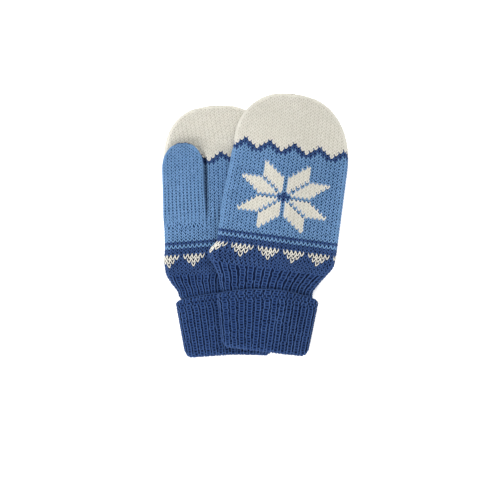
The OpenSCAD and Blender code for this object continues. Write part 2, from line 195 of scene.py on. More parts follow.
# %% Paper floor finish
paper, make = new_finish("white_paper")
grain = make.node("ShaderNodeTexNoise", {}, {"Scale": 60.0, "Detail": 3.0}, out="Fac")
paper_colour = mix_colours(make, grain, (0.93, 0.93, 0.93), (0.95, 0.95, 0.95))
paper_shader = make.node("ShaderNodeBsdfPrincipled", {}, {
    "Base Color": paper_colour, "Roughness": 0.9, "Specular IOR Level": 0.1,
    "Emission Color": (1, 1, 1, 1), "Emission Strength": 0.5})
floor_mesh.materials.append(close_finish(paper, paper_shader))

# %% [markdown]
# The mittens are knitted in three colours of plied wool.
# A strand of such yarn shows its twist as slanted ribs, bumped and with painted shade in their grooves, its
# fibres as fine streaks, and small changes of dye.
# Each strand carries a map named yarn: millimetres along it and turns round it, which the twist follows.
# Its flanks are painted darker than its top: painted shade, standing in for the light that the strands beside
# it keep out.

# %% Yarn finishes
FULL_TURN = 6.2832
TWIST, PLIES = 1.9, 3.0
FLANK_REACH, FLANK_PAINTED_SHADE, LOOP_DEEP = 3.6, 0.3, 0.7


def darker(colour, share):
    return tuple(c * share for c in colour)


def yarn_finish(name, deep, full, flank_shade):
    material, make = new_finish(name)
    strand = make.node("ShaderNodeUVMap", {"uv_map": "yarn"}, out="UV")
    along = make.node("ShaderNodeSeparateXYZ", {}, {"Vector": strand}, out="X")
    around = Tint(make.tree, along.socket.node.outputs["Y"])
    # The twist's grooves are bumped, and through the tone below they are also painted darker: painted shade.
    ply = ((along * TWIST + around * PLIES) * FULL_TURN).wave() * 0.5 + 0.5
    streaks = make.node("ShaderNodeCombineXYZ", {}, {"X": along * 0.9 + around * 1.4, "Y": around * 9.0})
    fibres = speckle(make, streaks, 2.4, 3.0)
    dye = speckle(make, make.node("ShaderNodeTexCoord", out="Object"), 55.0, 2.0)
    stitch = make.node("ShaderNodeAttribute", {"attribute_name": "stitch_tone_and_shade"}, out="Fac")
    # The tone mixes real changes of dye and fibre with painted shade: the twist's grooves, and the per-stitch
    # number, which is lowered on sunken strands.
    tone_and_shade = ply * 0.30 + fibres * 0.35 + dye * 0.35 + stitch * 0.30 - 0.15
    top = mix_colours(make, tone_and_shade, deep, full)
    # Painted shade: the flanks of each strand are mixed towards a dark share of the deep colour.
    painted_flank_shade = (around * FLANK_REACH) ** 2
    colour = mix_colours(make, painted_flank_shade * flank_shade, top, darker(deep, FLANK_PAINTED_SHADE))
    bump = make.node("ShaderNodeBump", {}, {
        "Height": ply * 0.6 + fibres * 0.4, "Strength": 0.55, "Distance": 0.00018})
    shader = make.node("ShaderNodeBsdfPrincipled", {}, {
        "Base Color": colour, "Roughness": 0.92 - 0.14 * ply, "Normal": bump,
        "Specular IOR Level": 0.2, "Sheen Weight": 0.03, "Sheen Roughness": 0.5})
    return close_finish(material, shader)


def lining_finish(name, shade):
    """The back of the knitting, seen only in the depths between stitches and inside the cuff. Its colour is
    painted dark: painted shade for those depths.
    """
    material, make = new_finish(name)
    loops = speckle(make, make.node("ShaderNodeTexCoord", out="Object"), 700.0, 2.0)
    colour = mix_colours(make, loops, darker(shade, LOOP_DEEP), shade)
    bump = make.node("ShaderNodeBump", {}, {"Height": loops, "Strength": 0.8, "Distance": 0.0004})
    shader = make.node("ShaderNodeBsdfPrincipled", {}, {
        "Base Color": colour, "Roughness": 0.95, "Normal": bump, "Specular IOR Level": 0.1})
    return close_finish(material, shader)


CREAM, LIGHT, DARK = 0, 1, 2
YARNS = [yarn_finish("cream_yarn", (0.64, 0.615, 0.54), (0.85, 0.83, 0.76), 0.14),
         yarn_finish("light_blue_yarn", (0.10, 0.22, 0.42), (0.225, 0.41, 0.69), 0.7),
         yarn_finish("dark_blue_yarn", (0.011, 0.038, 0.138), (0.064, 0.132, 0.325), 0.7)]
# The linings are darker copies of the yarns: painted shade for the depths behind the stitches.
LININGS = [lining_finish("cream_shaded_lining", (0.66, 0.63, 0.54)),
           lining_finish("light_blue_shaded_lining", (0.018, 0.045, 0.11)),
           lining_finish("dark_blue_shaded_lining", (0.003, 0.010, 0.042))]

# %% [markdown]
# The knitting lies on the surface of the CAD solids, so the sizes and curves of that model are repeated here.
# All of them are in millimetres, with v running from the fold of the cuff to the fingertip.
# Where the two mittens differ, a list holds the left one's value first and then the right one's.

# %% Sizes of the mittens
LEFT, RIGHT = 0, 1
SIDE = ["left", "right"]
hand_w, hand_t, hand_wall = 78.6, 10.5, 2.2
wrist_w, rib_t, rib_wall = 54.0, 8.0, 1.5
fold_w, cuff_depth, cuff_wall, cuff_corner = 57.0, 36.0, 1.9, 2.6
fold_h, edge_h, cuff_gap, edge_corner = 3.0, 2.0, 0.5, 0.4
cuff_w, cuff_arch, cuff_shift = [64.2, 67.2], [3.5, 5.2], [0.0, 2.6]
edge_drop, fold_drop = [0.0, 3.5], [2.5, 0.0]
thumb_w, thumb_taper, thumb_t, thumb_len = 28.2, 0.97, 9.0, 54.5
thumb_round, thumb_lean, thumb_square, thumb_fall = 17.0, 2.4, 2.05, 0.96
thumb_inset, seam_h, wrist_reach = 13.8, 10.5, 12.0
tip_square, round_len, palm_len, tip_len, zig_h = 2.35, 48.0, 50.5, 38.4, 4
rest_cut, lie_gap, left_stretch = [0.5, 0.0], 0.4, 0.94
wrist_bulge, right_bulge, edge_trim = [2.0, 8.0], [0.0, 1.3], [0.7, 2.2]
tri_h = 7.6
v_rib, v_tri, v_line, v_stripe, v_palm = 54.0, 67.5, 71.9, 74.0, 76.2
v_zig = v_palm + palm_len
v_end = v_zig + zig_h + tip_len
v_round, v_seam = v_end - round_len, v_palm + seam_h
v_wrist_low, v_wrist_high = v_rib - wrist_reach, v_rib + wrist_reach
thumb_offset = hand_w / 2 - thumb_inset
edge_x, edge_turn, crown = 0.115, 0.165, 0.12
cuff_t = rib_t + 2 * (cuff_gap + cuff_wall)
fold_band = cuff_wall + cuff_gap + rib_wall
rib_in_w = fold_w - 2 * (cuff_wall + cuff_gap)
left_palm_z = hand_t - rest_cut[LEFT]
climb_cuff, climb_tip = cuff_t - rest_cut[LEFT] + lie_gap, 9.0
climb_hand = left_palm_z + 2 * lie_gap + thumb_t
climb_full, climb_none = (4.0, -10.0), (30.0, 36.5)
SHIFTS = [(-3.0, 2.7, 5.0, 2.2), (-0.5, -0.5, -0.3, -1.2)]
LAY = [(-17.2, -84.5, np.radians(4.2)), (6.2, -82.2, -np.radians(7.3))]
print("hand", hand_w, "mm wide, mitten", v_end, "mm long")

# %% [markdown]
# A mitten is a flat tube. Its cross-section is an oval with rounded edges and a slight crown.
# A turn of 0 is its left edge, 0.25 the middle above, 0.5 the right edge and 0.75 the middle underneath.

# %% Flat oval and soft steps
SHARE_LIMIT, JUST_WIDER = 0.985, 1.0001


def mix(a, b, s):
    return a + (b - a) * s


def ease(a, b, x):
    s = np.clip((x - a) / (b - a), 0, 1)
    return s * s * (3 - 2 * s)


def rounded(s, n):
    return (1 - np.clip(s, 0, 1) ** n) ** (1 / n)


def crowned(w):
    return 1 - crown * (1 - (1 - np.minimum(w, 1) ** 2) ** 2)


def oval(turn):
    turn = turn - np.floor(turn)
    upper = turn <= 0.5
    u = np.where(upper, 4 * turn - 1, 3 - 4 * turn)
    flat = 1 - edge_turn
    w = np.abs(u) / flat
    phi = np.pi / 2 * (np.abs(u) - flat) / edge_turn
    x = np.where(w <= 1, (1 - edge_x) * w, 1 - edge_x + edge_x * np.sin(phi))
    z = np.where(w <= 1, crowned(w), (1 - crown) * np.cos(phi))
    return np.sign(u) * x, np.where(upper, z, -z)


def turn_of(share, under):
    """The turn at a place across the oval: share -1 is its left edge and 1 its right one."""
    far = np.abs(share)
    bend = np.arcsin(np.clip((far - 1 + edge_x) / edge_x, 0, 1)) / (np.pi / 2)
    u = np.where(far <= 1 - edge_x, far / (1 - edge_x) * (1 - edge_turn), 1 - edge_turn * (1 - bend))
    u = np.sign(share) * u
    return np.where(under, (3 - u) / 4, (u + 1) / 4)


def straight_turn(column, count, widen_left, widen_right):
    """Turn of a column that keeps its distance from the middle line where the tube gets narrower."""
    turn = column / count - np.floor(column / count)
    share = oval(turn)[0]
    widen = np.where(share < 0, widen_left, widen_right)
    far = np.minimum(np.abs(share) * widen, SHARE_LIMIT)
    return np.where(widen > JUST_WIDER, turn_of(np.sign(share) * far, turn > 0.5), turn)


print("height of the oval, edge to middle:", oval(np.linspace(0, 0.25, 4))[1].round(2))

# %% [markdown]
# The hand widens from the ribbed wrist and rounds off at the fingertip.
# Its two edges aren't alike: here and there one of them stands out or is drawn in by a hump.
# A hump starts, is full between two heights, and ends.

# %% Outline of the hand and wrist
WRIST_HUMP = [(v_wrist_low, v_rib - 4, v_rib, v_rib + 8),
              (cuff_depth / 2, v_wrist_low + 4, v_rib + 3, v_rib + 15)]
TRIM_HUMP = [(v_zig, v_zig + 0.55 * tip_len, v_end - 0.35 * tip_len, v_end),
             (v_zig - 0.65 * palm_len, v_zig, v_zig, v_zig + 0.65 * tip_len)]
FAR_HUMP = (v_rib - 14, v_rib - 6, v_rib + 3, v_rib + 12)


def grown(wrist, hand, v):
    """A size between the wrist's and the hand's."""
    return mix(wrist, hand, ease(v_wrist_low, v_wrist_high, v))


def half_w(v):
    tip = hand_w / 2 * rounded((v - v_round) / round_len, tip_square)
    wrist = grown(wrist_w, hand_w, v) / 2
    rib = mix(rib_in_w, wrist_w, ease(cuff_depth / 2, v_wrist_low, v)) / 2
    return np.where(v > v_round, tip, np.where(v > v_wrist_low, wrist, rib))


def half_t(v):
    tip = hand_t / 2 * np.sqrt(1 - np.clip((v - v_round) / round_len, 0, 1) ** 4)
    return np.where(v > v_round, tip, grown(rib_t, hand_t, v) / 2)


def fabric(v):
    return mix(rib_wall, hand_wall, ease(v_wrist_low, v_rib, v))


def hump(v, start, full_from, full_to, end):
    return ease(start, full_from, v) - ease(full_to, end, v)


def thumb_edge(side, v):
    """How much further the thumb edge stands out than the other one."""
    return wrist_bulge[side] * hump(v, *WRIST_HUMP[side]) - edge_trim[side] * hump(v, *TRIM_HUMP[side])


def along(side, v):
    return np.where(v > v_palm, v_palm + (v - v_palm) * left_stretch, v) if side == LEFT else v


def middle_x(side, v):
    wrist, palm, zig, tip = SHIFTS[side]
    hand = mix(palm, zig, (v - v_palm) / (v_zig - v_palm))
    upper = np.where(v > v_zig, mix(zig, tip, ease(v_zig, v_end, v)), hand)
    lower = np.where(v > v_wrist_low, mix(wrist, palm, ease(v_wrist_low, v_palm, v)),
                     wrist * ease(cuff_depth, v_wrist_low, v))
    return np.where(v > v_palm, upper, lower)


def middle_z(side, v):
    return grown(cuff_t, hand_t, v) / 2 - rest_cut[side]


print("half width at wrist and hand:", half_w(np.array([v_rib, v_palm])).round(1), "mm")

# %% [markdown]
# A point of the surface is given by its turn round the tube and its height v along the mitten.
# The right mitten lies over the left one, so its surface climbs by a smooth height that depends on the place.
# The left mitten is pressed flat by the table, and its palm swells a little beside the folded thumb.

# %% Surface of the hand and wrist
LEAST_Z, TABLE_STEEP = 0.45, 3
swell_h, swell_foot, swell_top = 5.8, 13, 14
swell_rise, swell_fade = (0.7, 3.0), (13, 25)


def climb(side, x, y):
    if side == LEFT:
        return np.zeros_like(x)
    s = ease(v_wrist_low, v_palm, y)
    peak = mix(climb_cuff, climb_hand, s) - (climb_hand - climb_tip) * ease(v_zig, v_end, y)
    return peak * (1 - ease(mix(*climb_full, s), mix(*climb_none, s), x))


def settle(side, x, y, z):
    """Lifts a point over what lies below the mitten, and flattens the left one on the table."""
    z = z + climb(side, x, y)
    if side == LEFT:
        z = LEAST_Z + np.logaddexp(0, (z - LEAST_Z) * TABLE_STEEP) / TABLE_STEEP
    return np.stack([x, y, z], -1)


def corner(turn):
    """Rounding of the cuff's corners."""
    q = np.clip(1 - (1 - np.abs(oval(turn)[0])) / edge_x, 0, 1)
    return cuff_corner * (1 - np.sqrt(1 - q * q))


def fold_line(side, turn):
    """How far the cuff's fold lies above its lowest line. The foot of the ribbing follows it."""
    return corner(turn) - fold_drop[side] * ((1 + oval(turn)[0]) / 2) ** 3


def palm_swell(side, x, y, pz):
    """The left palm swells up beside the folded thumb, which leaves a narrow crease between them."""
    if side == RIGHT:
        return np.zeros_like(x)
    s = y - along(side, np.full_like(y, v_seam))
    past = x - thumb_middle(side, s) - thumb_half_w(s)
    across = ease(*swell_rise, past) * (1 - ease(*swell_fade, past))
    foot, top = ease(0, swell_foot, s), 1 - ease(thumb_len - swell_top, thumb_len, s)
    return swell_h * across * foot * top * np.maximum(pz, 0)


def hand_skin(side, turn, v):
    px, pz = oval(turn)
    v = v + fold_line(side, turn) * (1 - ease(fold_h, cuff_depth / 2, v))
    x = middle_x(side, v) + half_w(v) * px - thumb_edge(side, v) * np.minimum(px, 0) ** 2
    x = x + right_bulge[side] * hump(v, *FAR_HUMP) * np.maximum(px, 0) ** 2
    y = along(side, v)
    return settle(side, x, y, middle_z(side, v) + half_t(v) * pz + palm_swell(side, x, y, pz))


print("climb at the cuff and the hand:", round(climb_cuff, 1), round(climb_hand, 1), "mm")

# %% [markdown]
# The turned-up cuff is a wider, thicker ring round the wrist. Its lower edge is a rounded fold.
# Its upper edge is arched, and its corners are rounded, because knitting doesn't keep a sharp corner.

# %% Surface of the cuff


def cuff_skin(side, turn, y, inward=0.0):
    px, pz = oval(turn)
    up = np.maximum(y, fold_h)
    half = mix(fold_w, cuff_w[side], (up - fold_h) / (cuff_depth - fold_h)) / 2
    shift = cuff_shift[side] * (up - fold_h) / (cuff_depth - fold_h)
    level = cuff_t / 2 - rest_cut[side]
    x = (half - inward) * px - shift * np.abs(px)
    return settle(side, x, y, level + (cuff_t / 2 - inward) * pz)


def cuff_top(side, turn):
    px = oval(turn)[0]
    arch = cuff_arch[side] * (1 - px * px)
    return cuff_depth + arch - edge_corner * corner(turn) - edge_drop[side] * (1 - px) / 2


def turnup_skin(side, turn, share):
    """share 0 is just above the fold, share 1 the cast-off edge."""
    return cuff_skin(side, turn, mix(fold_h + fold_line(side, turn), cuff_top(side, turn), share))


def fold_skin(side, turn, share):
    """share 0 is inside, by the ribbing, and share 1 outside, by the turned-up cuff."""
    a = np.pi * share
    y = fold_line(side, turn) + fold_h * (1 - np.sin(a))
    return cuff_skin(side, turn, y, fold_band / 2 * (1 + np.cos(a)))


print("cuffs", cuff_w, "mm wide at their tops and", cuff_t, "mm thick")

# %% [markdown]
# The thumb is a smaller flat tube that lies on the palm, and grows out of it at a row of picked-up stitches.
# It starts as a thin fold at the palm's own height, so that no step shows there.

# %% Surface of the thumb
THUMB_FOOT, FOOT_W, FOOT_DROP = 0.06, 0.972, 0.9
WIDEN_OVER, THICKEN_OVER, LEAVE_OVER = 9, 32, 6
FALL_FADE, DROP_FADE = (2, 14), (3, 9)


def thumb_end(s):
    return np.clip((s - thumb_len + thumb_round) / thumb_round, 0, 1)


def thumb_half_w(s):
    taper = mix(FOOT_W, 1, ease(0, WIDEN_OVER, s)) * mix(1, thumb_taper, ease(0, thumb_len / 2, s))
    return thumb_w / 2 * taper * rounded(thumb_end(s), thumb_square)


def thumb_rise(s):
    """The thumb leaves the palm as a thin fold and thickens slowly to beyond its middle."""
    return mix(THUMB_FOOT, 1, ease(0, THICKEN_OVER, s))


def thumb_height(s):
    return thumb_t * thumb_rise(s) * np.sqrt(1 - thumb_fall * thumb_end(s) ** 4)


def thumb_middle(side, s):
    return middle_x(side, np.full_like(s, v_seam)) - thumb_offset + s * np.tan(np.radians(thumb_lean))


def palm_fall(side, x, s):
    """How far the crowned palm lies below its highest line, at a place across it."""
    v = v_seam + s
    far = np.clip(np.abs(x - middle_x(side, v)) / half_w(v), 0, SHARE_LIMIT)
    bend = np.clip((far - 1 + edge_x) / edge_x, 0, 1)
    edge = (1 - crown) * np.sqrt(1 - bend * bend)
    return hand_t / 2 * (1 - np.where(bend > 0, edge, crowned(far / (1 - edge_x))))


def thumb_skin(side, turn, s):
    px, pz = oval(turn)
    x = thumb_middle(side, s) + thumb_half_w(s) * px
    y = along(side, np.full_like(s, v_seam)) + s
    h = mix(-THUMB_FOOT * thumb_t, lie_gap, ease(0, LEAVE_OVER, s)) + thumb_height(s) / 2 * (1 + pz)
    h = h - palm_fall(side, x, s) * (1 - ease(*FALL_FADE, s))
    h = h - FOOT_DROP * np.maximum(-pz, 0) * (1 - ease(*DROP_FADE, s))
    z = left_palm_z + h if side == LEFT else climb(side, x, y) - h
    return np.stack([x, y, z], -1)


def lay(side, points):
    """Puts points of a mitten, in its own millimetres, where it lies, in metres."""
    x0, y0, turn = LAY[side]
    c, s = np.cos(turn), np.sin(turn)
    x, y, z = points[..., 0], points[..., 1], points[..., 2]
    return np.stack([x0 + c * x - s * y, y0 + s * x + c * y, z], -1) * MM


print("thickness of the thumb along it:", thumb_height(np.linspace(0, thumb_len, 6)).round(1), "mm")

# %% [markdown]
# Knitting is one long yarn drawn into loops. Seen from the front, each stitch is a V of two legs.
# Both ends of a leg dip behind the stitches above and below it, so a leg is a short, arched strand.
# A strand is made as half a tube, because its back is never seen: points across it swing from side to side.

# %% Strands of yarn
SWING = np.radians([-100, -52, 0, 52, 100])
TURN_STEP, HEIGHT_STEP = 5e-4, 0.05
NEVER_ZERO = 1e-9


def unit(vectors):
    return vectors / np.maximum(np.linalg.norm(vectors, axis=-1, keepdims=True), NEVER_ZERO)


def skin_frame(skin, side, turn, v, down):
    """Points of a surface and the directions that stand out from it."""
    across = skin(side, turn + TURN_STEP, v) - skin(side, turn - TURN_STEP, v)
    upward = skin(side, turn, v + HEIGHT_STEP) - skin(side, turn, v - HEIGHT_STEP)
    return skin(side, turn, v), unit(np.cross(across, upward) * (-1 if down else 1))


def strand_points(middle, out, width, rise, depth):
    """Half tubes along rows of middle points: strands, points along, points across, xyz."""
    over = unit(np.cross(unit(np.gradient(middle, axis=1)), out))
    swing, lift = np.sin(SWING), np.cos(SWING)
    return (middle[:, :, None] + over[:, :, None] * (width[..., None] * swing)[..., None]
            + out[:, :, None] * (depth[..., None] + rise[..., None] * lift)[..., None])


def strand_lengths(middle):
    steps = np.linalg.norm(np.diff(middle, axis=1), axis=-1)
    return np.concatenate([np.zeros((len(middle), 1)), np.cumsum(steps, 1)], 1)


print("points across a strand:", len(SWING))

# %% [markdown]
# All the strands of one piece become one mesh. Each has its own tile of a bake map, so that no two overlap.
# Each also has a place in the yarn map, which gives its twist. A number per stitch varies the tone a little
# at random; on sunken strands it is lowered as painted shade, on raised rib legs raised as painted light.

# %% Mesh of many strands
TILES_WIDE, TILE_FILL, TILE_EDGE = 2.0, 0.84, 0.08
YARN_STEP, YARN_STARTS = 7.3, 11


def strand_faces(strands, n, m):
    """Point numbers of the faces, four to a face."""
    i, k = np.meshgrid(np.arange(n - 1), np.arange(m - 1), indexing="ij")
    base = (i * m + k).ravel()
    quad = np.stack([base, base + 1, base + m + 1, base + m], -1)
    return (np.arange(strands)[:, None, None] * n * m + quad[None]).reshape(-1, 4)


def bake_places(strands, n, m):
    """Each point's place in the bake map."""
    tiles_x = max(1, int(np.ceil(np.sqrt(strands * TILES_WIDE))))
    tiles_y = int(np.ceil(strands / tiles_x))
    number = np.arange(strands)
    du = np.arange(m) / (m - 1) * TILE_FILL + TILE_EDGE
    dv = (np.arange(n) / (n - 1) * TILE_FILL + TILE_EDGE)[:, None]
    u = ((number % tiles_x)[:, None, None] + du + 0 * dv) / tiles_x
    v = ((number // tiles_x)[:, None, None] + dv + 0 * du) / tiles_y
    return np.stack([u, v], -1).reshape(-1, 2)


def yarn_places(lengths):
    """Each point's place in the yarn map. Neighbouring strands start at different places."""
    twist = np.stack(np.broadcast_arrays(lengths[:, :, None], SWING / (2 * np.pi)), -1)
    start = (np.arange(len(lengths)) % YARN_STARTS)[:, None, None, None]
    return (twist + np.array([YARN_STEP, 0.0]) * start).reshape(-1, 2)


def colour_faces(mesh, colour, finishes):
    """Gives each face its yarn. The mesh holds only the finishes that it uses."""
    used = sorted(set(colour.tolist()))
    for yarn in used:
        mesh.materials.append(finishes[yarn])
    mesh.polygons.foreach_set("material_index", np.searchsorted(used, colour).astype(np.int32))
    mesh.polygons.foreach_set("use_smooth", np.ones(len(colour), bool))


def show(name, mesh):
    mesh.update()
    made = bpy.data.objects.new(name, mesh)
    scene.collection.objects.link(made)
    print(name, len(mesh.polygons), "faces")
    return made


def knit_object(name, points, lengths, colour, tone_and_shade):
    strands, n, m = points.shape[:3]
    faces = strand_faces(strands, n, m)
    loops = faces.ravel()
    mesh = bpy.data.meshes.new(name)
    mesh.vertices.add(strands * n * m)
    mesh.vertices.foreach_set("co", points.astype(np.float32).ravel())
    mesh.loops.add(loops.size)
    mesh.loops.foreach_set("vertex_index", loops.astype(np.int32))
    mesh.polygons.add(len(faces))
    mesh.polygons.foreach_set("loop_start", np.arange(0, loops.size, 4, dtype=np.int32))
    colour_faces(mesh, np.repeat(colour, len(faces) // strands), YARNS)
    for layer, places in (("OFBake", bake_places(strands, n, m)), ("yarn", yarn_places(lengths))):
        mesh.uv_layers.new(name=layer).data.foreach_set("uv", places[loops].astype(np.float32).ravel())
    attribute = mesh.attributes.new("stitch_tone_and_shade", "FLOAT", "POINT")
    attribute.data.foreach_set("value", np.repeat(tone_and_shade, n * m).astype(np.float32))
    return show(name, mesh)


# %% [markdown]
# A plain knit stitch has a left and a right leg, from a point in the middle up to the two sides.
# Ribbing alternates a raised knit column with a sunken purl column of short bars across a groove, dark from
# its depth and from painted shade on the bars.
# A strand is a path in its stitch: places across and along it, half width, rise and depth in millimetres, and
# a change of tone, which is painted shade or painted light.

# %% Paths of the stitches
random = np.random.default_rng(11)
S = np.linspace(0, 1, 7)
BELLY = np.sin(np.pi * S)
LEG_SPAN, LEG_LEAN, BAR_BOW = (-0.16, 1.14), (0.05, 0.8), 0.14


def legs(foot, head, width, rise, sink, top=0.14, tone_and_shade=0.0):
    """The left and the right leg of a V."""
    return [{"across": hand * mix(foot, head, ease(*LEG_LEAN, S)), "along": mix(*LEG_SPAN, S),
             "width": width * (0.7 + 0.3 * BELLY), "rise": rise * (0.75 + 0.25 * BELLY),
             "depth": top - rise - sink * (1 - BELLY), "tone_and_shade": tone_and_shade} for hand in (-1, 1)]


def bar(spread, place, width, rise, top, dip, tone_and_shade=0.0):
    """A strand that lies across its stitch."""
    return {"across": mix(-spread, spread, S), "along": place + BAR_BOW * BELLY,
            "width": np.full_like(S, width), "rise": np.full_like(S, rise),
            "depth": top - rise - dip * (1 - BELLY), "tone_and_shade": tone_and_shade}


KNIT = legs(0.10, 0.42, 0.41, 0.46, 0.62)
EDGE_KNIT = legs(0.10, 0.42, 0.41, 0.46, 0.25, 0.0)
NARROW_KNIT = legs(0.035, 0.15, 0.41, 0.46, 0.30, 0.0)
# The rib's sunken bars are painted much darker and its raised legs a little lighter: painted shade and
# painted light.
RIB_KNIT = legs(0.52, 0.62, 0.42, 0.55, 0.35, tone_and_shade=0.2) + [bar(0.56, 0.72, 0.60, 0.40, -0.60, 0.10, -1.5)]
RIB_PURL = [bar(0.42, 0.3, 0.26, 0.26, -1.30, 0.10, -0.9)]
FOLD_PURL = [bar(0.45, 0.3, 0.40, 0.36, -0.55, 0.10)]


def flipped(path):
    """The same strand upside down, for the turned-up cuff."""
    return {**path, "along": 1 - path["along"]}


print("strands in a plain and in a rib stitch:", len(KNIT), len(RIB_KNIT))

# %% [markdown]
# A row of stitches is named by the column in the middle of each stitch and the heights of its two ends.
# The paths are laid on the surface, with a little unevenness, because no two stitches are quite alike.

# %% Stitches on a surface
PLUMP_SPREAD, TONE_MIDDLE, TONE_SPREAD = 0.05, 0.5, 0.22


def join(parts):
    return tuple(np.concatenate(part) for part in zip(*parts))


def work(skin, side, column, low, high, paths, turn_at, down=False, scale=1.0, uneven=0.03):
    """Strands of every path in every stitch: points, lengths and a tone for each strand, random, with the
    painted shade or light of its path added.
    """
    made = []
    shift = random.normal(0, uneven, (len(column), 2))
    plump = 1 + random.normal(0, PLUMP_SPREAD, len(column))
    tone_and_shade = np.clip(random.normal(TONE_MIDDLE, TONE_SPREAD, len(column)), 0, 1)
    for path in paths:
        across = column[:, None] + path["across"] + shift[:, :1]
        v = low[:, None] + (high - low)[:, None] * (path["along"] + shift[:, 1:])
        middle, out = skin_frame(skin, side, turn_at(side, across, v), v, down)
        width = path["width"] * plump[:, None] * scale
        rise = path["rise"] * scale + 0 * v
        points = strand_points(middle, out, width, rise, path["depth"] + 0 * v)
        made.append((points, strand_lengths(middle), tone_and_shade + path["tone_and_shade"]))
    return join(made)


# %% [markdown]
# The colours follow a chart. Over sixty columns the pattern repeats ten times, six stitches to a repeat.
# There is a row of triangles, and above it two dark stripes with a light line between them.
# A dark zigzag lies under the cream fingertip.
# On the back of each hand is an eight-pointed star, a traditional motif built from eight diamonds.

# %% Colour chart
COLUMNS, REPEAT = 60, 6
FACE = COLUMNS // 2
FIRST_GAP, ZIG_MOVE = [-1, -2], [4, 0]
ZIG_ROW = 25
HAND_ROW = palm_len / ZIG_ROW
STAR_ARM, STAR_ROW, STAR_COLUMN = 5, 12.0, [45, 15]
UPPER_NODES, UPPER_YARNS = ["hand", "zigzag", "fingertip"], [LIGHT, DARK, CREAM]
HAND, ZIGZAG, FINGERTIP = 0, 1, 2


def from_gap(side, column):
    return np.mod(column - FIRST_GAP[side], REPEAT)


def star(side, column, row):
    """The star's yarn at a stitch, or the light blue of the hand."""
    across = np.abs(np.mod(column - STAR_COLUMN[side] + FACE, COLUMNS) - FACE)
    upward = np.abs(row - STAR_ROW)
    far, near = np.maximum(across, upward), np.minimum(across, upward)
    diamond = (near >= 1) & (near <= STAR_ARM) & (far - near >= 1) & (far - near <= STAR_ARM)
    heart = (far + near) <= 1
    return np.where(heart, DARK, np.where(diamond, CREAM, LIGHT))


def upper_yarn(side, column, row):
    """Yarn and node of the rows above the stripes: hand, zigzag or fingertip."""
    rise = np.abs(from_gap(side, column - ZIG_MOVE[side]) - REPEAT // 2)
    above = np.where(row < ZIG_ROW + rise + 2, ZIGZAG, FINGERTIP)
    node = np.where(row < ZIG_ROW + np.maximum(rise, 1), HAND, above)
    yarn = np.where(node == HAND, star(side, column, row), np.where(node == ZIGZAG, DARK, CREAM))
    return yarn, node


def in_triangle(side, column, row):
    """row 0 is the lowest of the three rows of triangles."""
    return np.abs(from_gap(side, column) - REPEAT // 2) <= row


chart = star(RIGHT, *np.meshgrid(np.arange(FACE), np.arange(ZIG_ROW)))
print("cream stitches in a star:", np.count_nonzero(chart == CREAM))

# %% [markdown]
# At the fingertip the columns run straight up and stop at the outline, as they do in the photograph.
# The three columns at each edge follow the outline instead, row by row along its curve.

# %% Columns and rows of the hand
EDGE_COLUMNS, STRAIGHT_ROWS = 1, 22
LEAST_HALF_W, TIP_SHORT = 0.5, 1.0
LEAST_ROW = 0.35 * HAND_ROW


def from_edge(columns, count):
    """How many columns away the nearer edge is, in a tube of so many columns."""
    place = np.mod(columns, count // 2)
    return np.minimum(place, count // 2 - place)


def widening(side, v):
    """How much wider the tube is where it starts to round off than at v, left and right."""
    full = np.full_like(v, v_round)
    left = (half_w(full) + thumb_edge(side, full)) / np.maximum(half_w(v) + thumb_edge(side, v), LEAST_HALF_W)
    right = half_w(full) / np.maximum(half_w(v), LEAST_HALF_W)
    return np.where(v > v_round, left, 1.0), np.where(v > v_round, right, 1.0)


def hand_turn(side, column, v):
    return straight_turn(column, COLUMNS, *widening(side, v))


def ring_turn(side, column, v):
    return column / COLUMNS


def grid(columns, edges):
    """Every column in every row between the given heights."""
    c, r = np.meshgrid(columns, np.arange(len(edges) - 1), indexing="ij")
    edges = np.asarray(edges, float)
    return c.ravel().astype(float), r.ravel(), edges[r.ravel()], edges[r.ravel() + 1]


def reach(share, widen_left, widen_right, heights):
    """The height at which each column runs out at the rounded end."""
    left, right = [np.interp(np.abs(share), SHARE_LIMIT / widen[::-1], heights[::-1])
                   for widen in (widen_left, widen_right)]
    return np.where(share < 0, left, right)


def even_rows(heights, sideways, row):
    """Heights of rows evenly spaced along an outline that moves sideways between them."""
    run = np.concatenate([[0], np.cumsum(np.hypot(np.diff(heights), sideways))])
    return np.interp(np.arange(0, run[-1], row), run, heights)


all_columns = np.arange(COLUMNS)
face_columns = all_columns[from_edge(all_columns, COLUMNS) > EDGE_COLUMNS]
side_columns = all_columns[from_edge(all_columns, COLUMNS) <= EDGE_COLUMNS]
rows_to_round = np.linspace(v_palm, v_round, STRAIGHT_ROWS + 1)
rows_to_end = np.append(np.arange(v_palm, v_end, HAND_ROW), v_end)
tip_heights = np.linspace(v_round, v_end - TIP_SHORT, 2000)
tip_rows = even_rows(tip_heights, np.diff(half_w(tip_heights)), HAND_ROW)
print(len(face_columns), "columns on the faces,", len(side_columns), "at the edges")

# %% [markdown]
# Each piece of knitting takes the place of one CAD node. It rides on that node's body and moves with it.
# Fabric that crosses a fold is left where it lies, on no body.

# %% Pieces in place of CAD nodes


def add_piece(side, node, made, yarn, body="mitten", colour=None, bend=None):
    """One piece of knitting in the place of a CAD node. colour is for pieces of more than one yarn."""
    points, lengths, tones_and_shades = made
    name = f"{SIDE[side]}_{node}"
    colour = np.full(len(points), yarn) if colour is None else colour
    piece = knit_object(name + "_knit", lay(side, points), lengths, colour, tones_and_shades)
    if bend:
        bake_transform(piece)
    else:
        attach(piece, f"{SIDE[side]}_{body}")
    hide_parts(name)


# %% [markdown]
# The upper part of a mitten is knitted first: hand, zigzag and fingertip, sorted into one piece per CAD node.
# Where the thumb is picked up, its first rows take the place of the palm's.
# Two strands along the outline of the fingertip close the columns that stop there. They are painted darker:
# painted shade along the edge.

